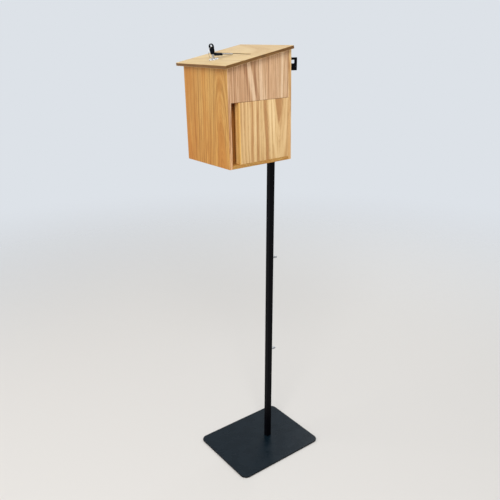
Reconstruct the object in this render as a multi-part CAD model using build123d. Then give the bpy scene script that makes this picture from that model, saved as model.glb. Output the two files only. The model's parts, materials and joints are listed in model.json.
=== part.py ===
from build123d import *
from math import asin, atan2, cos, degrees, pi, radians, sin, sqrt, tan
import os

# A locking ballot box of oak boards that hangs on a square steel pole with a flat base plate.
# Origin: middle of the base plate's underside. +X is the box's right side, where the card
# pocket is, +Y points to the rear and +Z up. All lengths are millimetres, angles degrees.

# Small gaps and fits
cut_overrun = 1.0
running_gap = 0.05
thread_gap = 0.05
slip_gap = 0.15
rest_gap = 0.3

# Base plate
plate_width = 265.0
plate_depth = 335.0
plate_thickness = 5.0
plate_corner_radius = 22.0
plate_edge_ease = 0.8

# Pole: square tube sections stacked on inner sleeves
pole_side = 18.0
pole_wall = 1.5
pole_corner_radius = 1.2
pole_behind_centre = 37.0
pole_section_length = 338.0
pole_joint_count = 3
sleeve_wall = 1.5
sleeve_reach = 45.0
sleeve_corner_radius = 0.6

# Foot: a plug in the pole's lower end, pulled down by a countersunk bolt from below
foot_plug_height = 22.0
foot_bolt_radius = 4.0
foot_bolt_grip = 18.0
foot_bolt_head_radius = 8.0
foot_bolt_head_sunk = 0.4
foot_bolt_socket_radius = 2.9
foot_bolt_socket_depth = 2.6

# Thumb screws at the rear of the pole, one above each joint
thumb_screw_above_joint = 14.0
thumb_screw_radius = 2.5
thumb_screw_shank = 10.0
thumb_screw_knob_radius = 4.2
thumb_screw_knob_length = 8.5
thumb_screw_cap_radius = 3.4
thumb_screw_cap_height = 0.6
thumb_screw_groove_count = 12
thumb_screw_groove_radius = 0.5
thumb_screw_tip_in = 1.5

# Box: its bottom height is that of the lower rear edge, about which it leans forward
box_bottom_height = 1039.5
box_lean_angle = 1.4
box_width = 210.0
box_depth = 218.0
box_front_height = 264.0
box_rear_height = 304.0
board = 10.0
board_edge_ease = 0.6
pad_thickness = 2.5

# Card pocket on the right side
pocket_height = 175.0
pocket_mouth = 25.0
pocket_width = 30.0
pocket_seam = 0.8
partition_thickness = 8.0
batten_thickness = 9.5
batten_width = 12.0

# Lid
lid_thickness = 9.0
lid_front_overhang = 14.0
lid_side_overhang = 16.0
lid_rear_setback = 3.0
lid_gap = 1.0
lid_edge_ease = 1.6
slot_length = 140.0
slot_width = 8.0
slot_behind_front = 109.5
slot_edge_ease = 0.8

# Felt pads under the lid's front corners
felt_radius = 4.0
felt_thickness = 0.8
felt_from_side = 16.0

# Butt hinges with stop lips
hinge_length = 38.0
hinge_from_middle = 62.0
hinge_leaf = 1.2
hinge_leaf_gap = 0.4
hinge_body_leaf_depth = 8.4
hinge_lid_leaf_depth = 14.0
hinge_knuckle_radius = 2.5
hinge_knuckle_gap = 0.2
hinge_pin_radius = 1.2
hinge_lip_length = 4.0
hinge_open_angle = 105.0
hinge_screw_radius = 1.1
hinge_screw_head_radius = 2.2
hinge_screw_from_end = 6.5
hinge_body_screw_length = 14.0
hinge_lid_screw_length = 7.0

# Cam lock in the lid
lock_behind_front = 34.5
lock_face_radius = 13.0
lock_face_thickness = 2.5
lock_face_ease = 0.9
lock_barrel_radius = 9.5
lock_barrel_length = 22.0
lock_plug_radius = 6.0
lock_plug_head_radius = 8.0
lock_plug_head_thickness = 1.0
lock_nut_across_flats = 23.0
lock_nut_thickness = 4.0
cam_length = 21.0
cam_width = 14.0
cam_thickness = 2.5
cam_tail_side = 6.0
cam_screw_radius = 1.6
cam_screw_length = 7.0
cam_screw_head_radius = 4.4
cam_screw_head_height = 2.2

# Strike plate on the front board's inner face
strike_width = 34.0
strike_thickness = 1.5
strike_reach = 9.0
strike_drop = 22.0
strike_over_cam = 0.6
strike_screw_spacing = 20.0
strike_screw_drop = 13.0

# Small wood screws with round heads, for the strike plate and the hangers
wood_screw_radius = 1.4
wood_screw_length = 8.0
wood_screw_head_radius = 3.0
wood_screw_head_height = 1.6
wood_screw_slot_width = 0.8
wood_screw_slot_depth = 0.6

# Keys and their ring
key_blade_width = 7.0
key_blade_thickness = 2.0
key_blade_length = 30.0
key_blade_in_head = 9.0
key_blade_tip = 3.0
key_slot_gap = 0.2
key_notch_count = 4
key_notch_pitch = 3.4
key_notch_depth = 0.9
key_head_length = 28.0
key_head_top_radius = 7.8
key_head_foot_radius = 6.0
key_head_thickness = 4.0
key_head_ease = 1.2
key_hole_radius = 3.5
key_hole_ease = 0.5
key_hole_from_end = 6.0
key_shank_shown = 12.0
key_turned_angle = 24.0
ring_radius = 15.0
ring_wire_radius = 0.8
ring_above_hole_floor = 0.4
ring_lean_angle = 8.5
spare_place_on_ring = 118.0
spare_hole_off_wire = 1.0
spare_heading_angle = 48.0
spare_roll_angle = 16.0
spare_tip_height = 2.3

# Crossbar on the pole's top with a hook plate at each end
crossbar_below_box_top = 40.0
crossbar_inset = 7.0
hook_plate_thickness = 4.0
hook_leg_width = 7.0
hook_arm_height = 6.5
hook_opening_height = 10.0
hook_nose_rise = 5.5
hook_nose_length = 5.5
hook_corner_radius = 1.2

# Hanger plates on the back board that the hooks carry
hanger_thickness = 1.5
hanger_width = 20.0
hanger_height = 45.0
hanger_edge_inset = 3.0
hanger_corner_radius = 2.0
hanger_side_gap = 0.5
hanger_lift_room = 1.0
hanger_screw_from_end = 6.5
mortise_side_gap = 1.5
mortise_back_wall = 2.0

# Rubber pad between the pole and the lower part of the box
bumper_height = 25.0
bumper_above_bottom = 2.0
bumper_edge_ease = 1.2

# Places worked out from the sizes above
pole_y = pole_behind_centre
pole_front_y = pole_y - pole_side / 2
pole_rear_y = pole_y + pole_side / 2
back_y = pole_front_y - pad_thickness
front_y = back_y - box_depth
half_box = box_width / 2
roof_slope = (box_rear_height - box_front_height) / box_depth
roof_angle = degrees(atan2(box_rear_height - box_front_height, box_depth))
roof_depth = box_depth / cos(radians(roof_angle))
box_top_front = box_bottom_height + box_front_height
box_top_rear = box_bottom_height + box_rear_height
inner_front_y = front_y + board
inner_back_y = back_y - board
floor_z = box_bottom_height + board
pocket_top = box_bottom_height + pocket_height
partition_x = half_box - board - pocket_width
crossbar_top = box_top_rear - crossbar_below_box_top
crossbar_bottom = crossbar_top - pole_side
lid_top_n = lid_gap + lid_thickness
hinge_axis_v = roof_depth + hinge_knuckle_radius + rest_gap
hinge_axis_n = lid_gap / 2
cam_top_n = lid_top_n - lock_barrel_length - rest_gap
key_head_foot = lock_face_thickness + key_shank_shown
key_hole_height = key_head_foot + key_head_length - key_hole_from_end

# The box and all that it carries are built upright and take their lean when they are written
box_place = Pos(0, back_y, box_bottom_height) * Rot(box_lean_angle, 0, 0) * Pos(0, -back_y, -box_bottom_height)

# The lid's own frame: x across, y up the slope from the front face, z square to the lid
lid_frame = Plane(
    origin=(0, front_y, box_top_front),
    x_dir=(1, 0, 0),
    z_dir=(0, -sin(radians(roof_angle)), cos(radians(roof_angle))),
).location
lock_frame = lid_frame * Pos(0, lock_behind_front, lid_top_n)
plug_frame = lock_frame * Rot(0, 0, key_turned_angle)


def block(low, high):
    """A box between two corners."""
    size = [b - a for a, b in zip(low, high)]
    middle = [(a + b) / 2 for a, b in zip(low, high)]
    return Pos(*middle) * Box(*size)


def side_prism(outline, x_from, x_to):
    """A solid whose (y, z) outline runs from one x to another."""
    face = Plane.YZ * Polygon(*outline, align=None)
    return Pos(x_from, 0, 0) * extrude(face, x_to - x_from, dir=(1, 0, 0))


def roof_z(y):
    """Height of the boards' sloping top edges at a depth y."""
    return box_top_front + (y - front_y) * roof_slope


def eased(solid, amount):
    """The solid with all its edges rounded a little."""
    return fillet(solid.edges(), amount)


def rod(radius, start, end):
    """A round rod between two points."""
    axis = Vector(*end) - Vector(*start)
    plane = Plane(origin=start, z_dir=axis)
    return extrude(plane * Circle(radius), axis.length)


def square_tube(side, wall, corner, length):
    """An upright square tube on z = 0."""
    outer = RectangleRounded(side, side, corner)
    inner = Rectangle(side - 2 * wall, side - 2 * wall)
    return extrude(outer - inner, length)


def export(name, *solids):
    """Write one node as a STEP file."""
    shape = solids[0] if len(solids) == 1 else Compound(list(solids))
    export_step(shape, os.path.join("parts", name + ".step"))


def export_leaning(name, *solids):
    """Write one node of the box, turned forward with it."""
    export(name, *[box_place * solid for solid in solids])


def leaning_back_y(z):
    """Depth of the leaning box's rear face at a height in the stand's frame."""
    return back_y - (z - box_bottom_height) * tan(radians(box_lean_angle))


def level_on_back(z):
    """Height on the upright box's rear face that the lean takes to a height in the stand's frame."""
    return box_bottom_height + (z - box_bottom_height) / cos(radians(box_lean_angle))


# Stand

def base_plate():
    plate = extrude(RectangleRounded(plate_width, plate_depth, plate_corner_radius), plate_thickness)
    plate = fillet(plate.faces().sort_by(Axis.Z)[-1].edges(), plate_edge_ease)
    plate = fillet(plate.faces().sort_by(Axis.Z)[0].edges(), plate_edge_ease)
    return plate - foot_bolt_space(thread_gap)


def foot_bolt_space(gap):
    """The bolt's outer shape, larger by a gap."""
    head_height = foot_bolt_head_radius - foot_bolt_radius
    head = Cone(
        foot_bolt_head_radius + gap,
        foot_bolt_radius + gap,
        head_height,
        align=(Align.CENTER, Align.CENTER, Align.MIN),
    )
    recess = Cylinder(foot_bolt_head_radius + gap, foot_bolt_head_sunk, align=(Align.CENTER, Align.CENTER, Align.MIN))
    shank = rod(foot_bolt_radius + gap, (0, 0, 0), (0, 0, plate_thickness + foot_bolt_grip + gap))
    shape = shank + Pos(0, 0, foot_bolt_head_sunk) * head
    if gap > 0:
        shape += recess
    return Pos(0, pole_y, 0) * shape


def foot_bolt():
    bolt = foot_bolt_space(0)
    below = Pos(0, pole_y, 0) * Cylinder(
        foot_bolt_head_radius, foot_bolt_head_sunk, align=(Align.CENTER, Align.CENTER, Align.MIN)
    )
    socket = extrude(RegularPolygon(foot_bolt_socket_radius, 6), foot_bolt_head_sunk + foot_bolt_socket_depth)
    return bolt - below - Pos(0, pole_y, 0) * socket


def foot_plug():
    side = pole_side - 2 * pole_wall - 2 * slip_gap
    plug = extrude(RectangleRounded(side, side, sleeve_corner_radius), foot_plug_height)
    return Pos(0, pole_y, plate_thickness) * plug - foot_bolt_space(thread_gap)


def joint_height(index):
    """Height of the joint above pole section number index, counted from the bottom."""
    return plate_thickness + pole_section_length * (index + 1)


def screw_height(index):
    return joint_height(index) + thumb_screw_above_joint


def pole_section(index):
    """One tube of the pole, with a hole for its thumb screw in the rear wall."""
    low = plate_thickness if index == 0 else joint_height(index - 1)
    high = crossbar_bottom if index == pole_joint_count else joint_height(index)
    tube = Pos(0, pole_y, low) * square_tube(pole_side, pole_wall, pole_corner_radius, high - low)
    if index > 0:
        z = screw_height(index - 1)
        tube -= rod(thumb_screw_radius + slip_gap, (0, pole_y, z), (0, pole_rear_y + cut_overrun, z))
    return tube


def pole_sleeve(index):
    """The tube inside one joint of the pole."""
    side = pole_side - 2 * pole_wall - 2 * slip_gap
    z = screw_height(index)
    tube = square_tube(side, sleeve_wall, sleeve_corner_radius, 2 * sleeve_reach)
    tube = Pos(0, pole_y, joint_height(index) - sleeve_reach) * tube
    return tube - rod(thumb_screw_radius + thread_gap, (0, pole_y, z), (0, pole_rear_y, z))


def thumb_screw(index):
    z = screw_height(index)
    tip_y = pole_rear_y - pole_wall - slip_gap - sleeve_wall - thumb_screw_tip_in
    knob_y = pole_rear_y + thumb_screw_shank
    end_y = knob_y + thumb_screw_knob_length
    rim = Circle(thumb_screw_knob_radius)
    for step in range(thumb_screw_groove_count):
        turn = 2 * pi * step / thumb_screw_groove_count
        groove = Circle(thumb_screw_groove_radius)
        rim -= Pos(thumb_screw_knob_radius * cos(turn), thumb_screw_knob_radius * sin(turn)) * groove
    plane = Plane(origin=(0, knob_y, z), z_dir=(0, 1, 0))
    knob = extrude(plane * rim, thumb_screw_knob_length)
    shank = rod(thumb_screw_radius, (0, tip_y, z), (0, knob_y, z))
    cap = rod(thumb_screw_cap_radius, (0, end_y, z), (0, end_y + thumb_screw_cap_height, z))
    return knob + shank + cap


def crossbar():
    half = half_box - crossbar_inset - hook_plate_thickness
    tube = square_tube(pole_side, pole_wall, pole_corner_radius, 2 * half)
    return Pos(-half, pole_y, (crossbar_bottom + crossbar_top) / 2) * Rot(0, 90, 0) * tube


def hook_levels():
    """Heights of the hook arm's underside and top."""
    arm_bottom = crossbar_top + hook_opening_height
    return arm_bottom, arm_bottom + hook_arm_height


def hook_side_x():
    """The x range of the hook plate on the right."""
    outer = half_box - crossbar_inset
    return outer - hook_plate_thickness, outer


def hook_plate(side):
    """Plate on the crossbar's end: a leg, an arm to the box and a nose that turns up."""
    arm_bottom, arm_top = hook_levels()
    x_in, x_out = hook_side_x()
    leg_y = pole_rear_y - hook_leg_width
    nose_back = leaning_back_y(arm_top + hook_nose_rise) - rest_gap
    nose_front = nose_back - hook_nose_length
    outline = [
        (pole_front_y, crossbar_bottom),
        (pole_rear_y, crossbar_bottom),
        (pole_rear_y, arm_top),
        (nose_back, arm_top),
        (nose_back, arm_top + hook_nose_rise),
        (nose_front, arm_top + hook_nose_rise),
        (nose_front, arm_bottom),
        (leg_y, arm_bottom),
        (leg_y, crossbar_top),
        (pole_front_y, crossbar_top),
    ]
    plate = side_prism(outline, x_in, x_out)
    seat = Vector((x_in + x_out) / 2, nose_back, arm_top)
    corners = [edge for edge in plate.edges().filter_by(Axis.X) if (edge.center() - seat).length > slip_gap]
    plate = fillet(corners, hook_corner_radius)
    return plate if side > 0 else mirror(plate, about=Plane.YZ)


def bumper():
    """Rubber pad on the back board that leans on the pole."""
    low = (-pole_side / 2, back_y, box_bottom_height + bumper_above_bottom)
    high = (pole_side / 2, pole_front_y, box_bottom_height + bumper_above_bottom + bumper_height)
    pad = block(low, high)
    return fillet(pad.edges().filter_by(Axis.Y), bumper_edge_ease)


# Wood screws and their places

def wood_screw(start, direction):
    """A round-headed screw whose head sits on the point start and points along direction."""
    plane = Plane(origin=start, z_dir=direction)
    shank = extrude(plane * Circle(wood_screw_radius), wood_screw_length)
    head = extrude(plane * Circle(wood_screw_head_radius), -wood_screw_head_height)
    head = fillet(head.faces().sort_by(Axis(start, direction))[0].edges(), wood_screw_head_height / 2)
    top = Plane(origin=plane.from_local_coords((0, 0, -wood_screw_head_height)), z_dir=plane.z_dir)
    slot = extrude(top * Rectangle(2 * wood_screw_head_radius, wood_screw_slot_width), wood_screw_slot_depth)
    return head + shank - slot


def wood_screw_hole(start, direction):
    """The room that a wood screw's shank takes in what it holds."""
    plane = Plane(origin=start, z_dir=direction)
    return extrude(plane * Circle(wood_screw_radius + thread_gap), wood_screw_length + thread_gap)


def hanger_centre(side):
    """Middle of a hanger plate on the back board's rear face."""
    arm_bottom, arm_top = hook_levels()
    x = half_box - hanger_edge_inset - hanger_width / 2
    return side * x, level_on_back((arm_bottom + arm_top) / 2)


def hanger_screws_at(side):
    x, z = hanger_centre(side)
    reach = hanger_height / 2 - hanger_screw_from_end
    return [(x, back_y + hanger_thickness, z + step * reach) for step in (-1, 1)]


def hanger_plate(side):
    """Steel plate with a slot for the hook, on the back board's rear face."""
    arm_bottom, arm_top = hook_levels()
    x_in, x_out = hook_side_x()
    x, z = hanger_centre(1)
    low = (x - hanger_width / 2, back_y, z - hanger_height / 2)
    high = (x + hanger_width / 2, back_y + hanger_thickness, z + hanger_height / 2)
    plate = block(low, high)
    plate = fillet(plate.edges().filter_by(Axis.Y), hanger_corner_radius)
    slot_low = level_on_back(arm_bottom - hook_nose_rise - hanger_lift_room)
    slot_high = level_on_back(arm_top + running_gap)
    slot = block(
        (x_in - hanger_side_gap, back_y - cut_overrun, slot_low),
        (x_out + hanger_side_gap, back_y + hanger_thickness + cut_overrun, slot_high),
    )
    plate -= slot
    for place in hanger_screws_at(1):
        plate -= wood_screw_hole(place, (0, -1, 0))
    return plate if side > 0 else mirror(plate, about=Plane.YZ)


def hanger_screws():
    return [wood_screw(place, (0, -1, 0)) for side in (-1, 1) for place in hanger_screws_at(side)]


def hook_mortise(side):
    """Blind pocket in the back board's rear face, with room to lift the box off the nose."""
    arm_bottom, arm_top = hook_levels()
    x_in, x_out = hook_side_x()
    low = level_on_back(arm_bottom - hook_nose_rise - hanger_lift_room)
    high = level_on_back(arm_top + hook_nose_rise + hanger_lift_room)
    mortise = block(
        (x_in - mortise_side_gap, inner_back_y + mortise_back_wall, low),
        (x_out + mortise_side_gap, back_y + cut_overrun, high),
    )
    return mortise if side > 0 else mirror(mortise, about=Plane.YZ)


# Hinges, in the lid's frame

def hinge_knuckles(owner):
    """The x ranges of the knuckles of one leaf: the body has the outer two, the lid the middle one."""
    third = hinge_length / 3
    start = -hinge_length / 2
    gap = hinge_knuckle_gap / 2
    if owner == "lid":
        return [(start + third + gap, start + 2 * third - gap)]
    return [(start, start + third - gap), (start + 2 * third + gap, start + 3 * third)]


def hinge_leaf_levels(owner):
    """Heights of a leaf's two faces above the boards' top plane."""
    near = hinge_leaf_gap / 2
    if owner == "lid":
        return hinge_axis_n + near, hinge_axis_n + near + hinge_leaf
    return hinge_axis_n - near - hinge_leaf, hinge_axis_n - near


def hinge_leaf_reach(owner):
    """The v range of a leaf's plate, clear of the other leaf's knuckles."""
    outer = hinge_axis_v - hinge_knuckle_radius - rest_gap
    depth = hinge_lid_leaf_depth if owner == "lid" else hinge_body_leaf_depth
    return outer - depth, outer


def hinge_wood_reach(owner):
    """The v range in which a leaf lies against wood."""
    v_in, v_out = hinge_leaf_reach(owner)
    return v_in, v_out - lid_rear_setback if owner == "lid" else v_out


def hinge_screw_places(owner):
    """Screw centres of one leaf: x along the hinge and v."""
    v_in, v_out = hinge_wood_reach(owner)
    reach = hinge_length / 2 - hinge_screw_from_end
    return [(-reach, (v_in + v_out) / 2), (reach, (v_in + v_out) / 2)]


def hinge_screw(owner, x, v, gap):
    """A countersunk screw of one leaf, larger by a gap, in the hinge's own frame."""
    low, high = hinge_leaf_levels(owner)
    face = high if owner == "body" else low
    sign = -1 if owner == "body" else 1
    length = hinge_body_screw_length if owner == "body" else hinge_lid_screw_length
    cone_height = hinge_screw_head_radius - hinge_screw_radius
    shank = rod(hinge_screw_radius + gap, (x, v, face), (x, v, face + sign * (length + gap)))
    plane = Plane(origin=(x, v, face), z_dir=(0, 0, sign))
    cone = loft([
        plane * Circle(hinge_screw_head_radius + gap),
        plane.offset(cone_height) * Circle(hinge_screw_radius + gap),
    ])
    return shank + cone


def hinge_leaf_solid(owner):
    """One leaf with its knuckles, screw holes and, on the lid's leaf, the stop lip."""
    low, high = hinge_leaf_levels(owner)
    v_in, v_out = hinge_leaf_reach(owner)
    half = hinge_length / 2
    leaf = block((-half, v_in, low), (half, v_out, high))
    axis_at = (hinge_axis_v, hinge_axis_n)
    for start, end in hinge_knuckles(owner):
        knuckle = rod(hinge_knuckle_radius, (start, *axis_at), (end, *axis_at))
        leaf += knuckle + block((start, v_out, low), (end, hinge_axis_v, high))
        if owner == "lid":
            leaf += hinge_lip(start, end)
    gap = 0 if owner == "body" else running_gap
    bore = rod(hinge_pin_radius + gap, (-half - cut_overrun, *axis_at), (half + cut_overrun, *axis_at))
    leaf -= bore
    for x, v in hinge_screw_places(owner):
        leaf -= hinge_screw(owner, x, v, thread_gap)
    return leaf


def hinge_lip(start, end):
    """Lip behind the lid's knuckle that meets the back board when the lid is fully open."""
    outer = hinge_knuckle_radius
    lip = block(
        (start, -outer, -hinge_lip_length - hinge_knuckle_radius),
        (end, -outer + hinge_leaf, 0),
    )
    turn = hinge_open_angle - roof_angle
    return Pos(0, hinge_axis_v, hinge_axis_n) * Rot(turn, 0, 0) * lip


def at_hinges(shape):
    """The shape placed at both hinges."""
    return [lid_frame * Pos(side * hinge_from_middle, 0, 0) * shape for side in (-1, 1)]


def hinge_pin():
    half = hinge_length / 2
    return rod(hinge_pin_radius, (-half, hinge_axis_v, hinge_axis_n), (half, hinge_axis_v, hinge_axis_n))


def hinge_screws(owner):
    return [
        placed
        for x, v in hinge_screw_places(owner)
        for placed in at_hinges(hinge_screw(owner, x, v, 0))
    ]


def hinge_recess(owner):
    """What a leaf takes out of the wood, with its screws, at both hinges."""
    low, high = hinge_leaf_levels(owner)
    v_in, v_out = hinge_leaf_reach(owner)
    half = hinge_length / 2 + slip_gap
    if owner == "lid":
        n_from, n_to = lid_gap - cut_overrun, high
    else:
        n_from, n_to = low, cut_overrun
    recess = block((-half, v_in - slip_gap, n_from), (half, hinge_axis_v, n_to))
    for x, v in hinge_screw_places(owner):
        recess += hinge_screw(owner, x, v, thread_gap)
    return at_hinges(recess)


# Boards of the box

def front_board():
    outline = [
        (front_y, box_bottom_height),
        (inner_front_y, box_bottom_height),
        (inner_front_y, roof_z(inner_front_y)),
        (front_y, roof_z(front_y)),
    ]
    wood = eased(side_prism(outline, -half_box, half_box), board_edge_ease)
    for place in strike_screws_at():
        wood -= wood_screw_hole(place, (0, -1, 0))
    return wood


def back_board():
    outline = [
        (inner_back_y, box_bottom_height),
        (back_y, box_bottom_height),
        (back_y, roof_z(back_y)),
        (inner_back_y, roof_z(inner_back_y)),
    ]
    wood = eased(side_prism(outline, -half_box, half_box), board_edge_ease)
    for side in (-1, 1):
        wood -= hook_mortise(side)
        for place in hanger_screws_at(side):
            wood -= wood_screw_hole(place, (0, -1, 0))
    for recess in hinge_recess("body"):
        wood -= recess
    return wood


def side_outline(low):
    """A side board's outline from a height up to the sloping top."""
    return [
        (inner_front_y, low),
        (inner_back_y, low),
        (inner_back_y, roof_z(inner_back_y)),
        (inner_front_y, roof_z(inner_front_y)),
    ]


def left_side_board():
    return eased(side_prism(side_outline(floor_z), -half_box, -half_box + board), board_edge_ease)


def right_upper_board():
    return eased(side_prism(side_outline(pocket_top + pocket_seam), half_box - board, half_box), board_edge_ease)


def bottom_board():
    low = (-half_box, inner_front_y, box_bottom_height)
    return eased(block(low, (half_box, inner_back_y, floor_z)), board_edge_ease)


def pocket_panel():
    low = (half_box - board, front_y + board + pocket_mouth, floor_z)
    return eased(block(low, (half_box, inner_back_y, pocket_top)), board_edge_ease)


def pocket_batten():
    start = front_y + board + pocket_mouth
    low = (half_box - board - batten_thickness, start, floor_z)
    return eased(block(low, (half_box - board, start + batten_width, pocket_top)), board_edge_ease)


def pocket_partition():
    low = (partition_x - partition_thickness, inner_front_y, floor_z)
    return block(low, (partition_x, inner_back_y, pocket_top))


def pocket_roof():
    low = (partition_x - partition_thickness, inner_front_y, pocket_top)
    return block(low, (half_box - board, inner_back_y, pocket_top + partition_thickness))


def lid_board():
    """The lid with its ballot slot, lock hole and hinge recesses."""
    half = half_box + lid_side_overhang
    low = (-half, -lid_front_overhang, lid_gap)
    wood = eased(block(low, (half, roof_depth - lid_rear_setback, lid_top_n)), lid_edge_ease)
    slot = Pos(0, slot_behind_front, lid_gap - cut_overrun) * extrude(
        SlotOverall(slot_length, slot_width), lid_thickness + 2 * cut_overrun
    )
    wood -= slot
    rims = wood.edges().filter_by(lambda edge: on_slot_rim(edge.center()))
    wood = chamfer(rims, slot_edge_ease)
    hole = (0, lock_behind_front, lid_gap - cut_overrun)
    wood -= rod(lock_barrel_radius + slip_gap, hole, (0, lock_behind_front, lid_top_n + cut_overrun))
    wood = lid_frame * wood
    for recess in hinge_recess("lid"):
        wood -= recess
    return wood


def on_slot_rim(point):
    """Whether a point in the lid's frame lies on the slot's upper rim."""
    near_x = abs(point.X) <= slot_length / 2 + cut_overrun
    near_v = abs(point.Y - slot_behind_front) <= slot_width / 2 + cut_overrun
    return near_x and near_v and abs(point.Z - lid_top_n) < running_gap


def felt_pad(side):
    """A felt dot on the front board's top edge that the lid comes down on."""
    n_top = lid_gap - rest_gap / 2
    centre = (side * (half_box - felt_from_side), board / 2)
    return lid_frame * rod(felt_radius, (*centre, 0), (*centre, n_top))


# Lock, in the lock's frame: z = 0 is the lid's top face

def lock_body():
    face = rod(lock_face_radius, (0, 0, 0), (0, 0, lock_face_thickness))
    face = fillet(face.faces().sort_by(Axis.Z)[-1].edges(), lock_face_ease)
    body = face + rod(lock_barrel_radius, (0, 0, 0), (0, 0, -lock_barrel_length))
    body -= rod(lock_plug_radius + running_gap, (0, 0, -lock_barrel_length - cut_overrun), (0, 0, lock_face_thickness))
    seat = lock_face_thickness - lock_plug_head_thickness - running_gap
    body -= rod(lock_plug_head_radius + running_gap, (0, 0, seat), (0, 0, lock_face_thickness + cut_overrun))
    return lock_frame * body


def lock_nut():
    hexagon = RegularPolygon(lock_nut_across_flats / 2, 6, major_radius=False)
    ring = hexagon - Circle(lock_barrel_radius + thread_gap)
    return lock_frame * Pos(0, 0, -lid_thickness - lock_nut_thickness) * extrude(ring, lock_nut_thickness)


def lock_plug():
    """The turning plug: a flanged head, a keyway and a square tail for the cam."""
    tail_end = -lock_barrel_length - rest_gap - cam_thickness
    plug = rod(lock_plug_radius, (0, 0, -lock_barrel_length - rest_gap), (0, 0, lock_face_thickness))
    head_from = lock_face_thickness - lock_plug_head_thickness
    plug += rod(lock_plug_head_radius, (0, 0, head_from), (0, 0, lock_face_thickness))
    half = cam_tail_side / 2
    plug += block((-half, -half, tail_end), (half, half, -lock_barrel_length))
    plug -= rod(cam_screw_radius + thread_gap, (0, 0, tail_end - cut_overrun), (0, 0, tail_end + cam_screw_length))
    depth = key_blade_length - key_shank_shown + rest_gap
    half_wide = key_blade_width / 2 + key_slot_gap
    half_thick = key_blade_thickness / 2 + key_slot_gap
    keyway = block(
        (-half_wide, -half_thick, lock_face_thickness - depth),
        (half_wide, half_thick, lock_face_thickness + cut_overrun),
    )
    return plug_frame * (plug - keyway)


def cam_arm():
    """The cam on the plug's tail. It would point to the box's left if the key weren't turned at all."""
    top = -lock_barrel_length - rest_gap
    bar = Pos(-(cam_length - cam_width / 2) / 2, 0) * SlotOverall(cam_length + cam_width / 2, cam_width)
    hole = Rectangle(cam_tail_side + 2 * running_gap, cam_tail_side + 2 * running_gap)
    return plug_frame * Pos(0, 0, top - cam_thickness) * extrude(bar - hole, cam_thickness)


def cam_screw():
    end = -lock_barrel_length - rest_gap - cam_thickness
    head = rod(cam_screw_head_radius, (0, 0, end - cam_screw_head_height), (0, 0, end))
    head = fillet(head.faces().sort_by(Axis.Z)[0].edges(), cam_screw_head_height / 3)
    shank = rod(cam_screw_radius, (0, 0, end), (0, 0, end + cam_screw_length - rest_gap))
    slot = block(
        (-cam_screw_head_radius, -wood_screw_slot_width / 2, end - cam_screw_head_height),
        (cam_screw_head_radius, wood_screw_slot_width / 2, end - cam_screw_head_height + wood_screw_slot_depth),
    )
    return plug_frame * (head + shank - slot)


# Strike plate

def strike_corner_z():
    """Height where the strike's flange leaves the front board's inner face."""
    return roof_z(inner_front_y) + (cam_top_n + strike_over_cam) / cos(radians(roof_angle))


def strike_plate():
    """Bent plate: a leg screwed to the front board and a flange that the cam turns under."""
    z = strike_corner_z()
    inner = inner_front_y + strike_thickness
    rise = strike_thickness / cos(radians(roof_angle))
    far = inner_front_y + strike_reach
    outline = [
        (inner_front_y, z - strike_drop),
        (inner, z - strike_drop),
        (inner, z + strike_thickness * roof_slope),
        (far, z + strike_reach * roof_slope),
        (far, z + strike_reach * roof_slope + rise),
        (inner_front_y, z + rise),
    ]
    plate = side_prism(outline, -strike_width / 2, strike_width / 2)
    for place in strike_screws_at():
        plate -= wood_screw_hole(place, (0, -1, 0))
    return plate


def strike_screws_at():
    z = strike_corner_z() - strike_screw_drop
    y = inner_front_y + strike_thickness
    return [(side * strike_screw_spacing / 2, y, z) for side in (-1, 1)]


# Keys, in the key's frame: z = 0 is the head's foot and +z runs through the head

def key_blade():
    """Flat blade with a pointed tip and a row of notches on both edges."""
    half = key_blade_width / 2
    tip = key_blade_width / 4
    outline = [
        (-half, key_blade_in_head),
        (half, key_blade_in_head),
        (half, -key_blade_length + key_blade_tip),
        (tip, -key_blade_length),
        (-tip, -key_blade_length),
        (-half, -key_blade_length + key_blade_tip),
    ]
    flat = Plane.XZ * Polygon(*outline, align=None)
    blade = extrude(flat, key_blade_thickness / 2, both=True)
    first = -key_shank_shown - key_notch_pitch
    for step in range(key_notch_count):
        for side in (-1, 1):
            at = Pos(side * half, 0, first - step * key_notch_pitch)
            side_length = key_notch_depth * sqrt(2)
            blade -= at * Rot(0, 45, 0) * Box(side_length, 2 * key_blade_thickness, side_length)
    return blade


def key_head():
    """Moulded head: a round end with the ring hole, narrower towards the blade."""
    top_z = key_head_length - key_head_top_radius
    foot_z = key_head_foot_radius / 2
    upper = Pos(0, top_z) * Circle(key_head_top_radius)
    lower = Pos(0, foot_z) * RectangleRounded(
        2 * key_head_foot_radius, key_head_foot_radius, key_head_foot_radius / 3
    )
    flat = make_hull([*upper.edges(), *lower.edges()])
    head = extrude(Plane.XZ * flat, key_head_thickness / 2, both=True)
    head = fillet(head.faces().filter_by(Axis.Y).edges(), key_head_ease)
    hole_z = key_head_length - key_hole_from_end
    half = key_head_thickness
    head -= rod(key_hole_radius, (0, -half, hole_z), (0, half, hole_z))
    rims = head.edges().filter_by(GeomType.CIRCLE).filter_by(lambda edge: abs(edge.radius - key_hole_radius) < slip_gap)
    head = chamfer(rims, key_hole_ease)
    half_blade = key_blade_width / 2
    half_thick = key_blade_thickness / 2
    return head - block((-half_blade, -half_thick, -cut_overrun), (half_blade, half_thick, key_blade_in_head))


key_place = plug_frame * Pos(0, 0, key_head_foot)


# Key ring and spare key, in the plug's frame: the ring hangs in the key's hole and leans clear of the shank

def ring_directions():
    """Direction from the hole to the ring's middle, and the wire's direction in the hole."""
    lean = radians(ring_lean_angle)
    return Vector(-sin(lean), 0, -cos(lean)), Vector(0, 1, 0)


def ring_centre():
    drop = key_hole_radius - ring_wire_radius - ring_above_hole_floor
    down, through = ring_directions()
    return Vector(0, 0, key_hole_height) + down * (drop + ring_radius)


def ring_axis():
    down, through = ring_directions()
    return down.cross(through)


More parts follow.
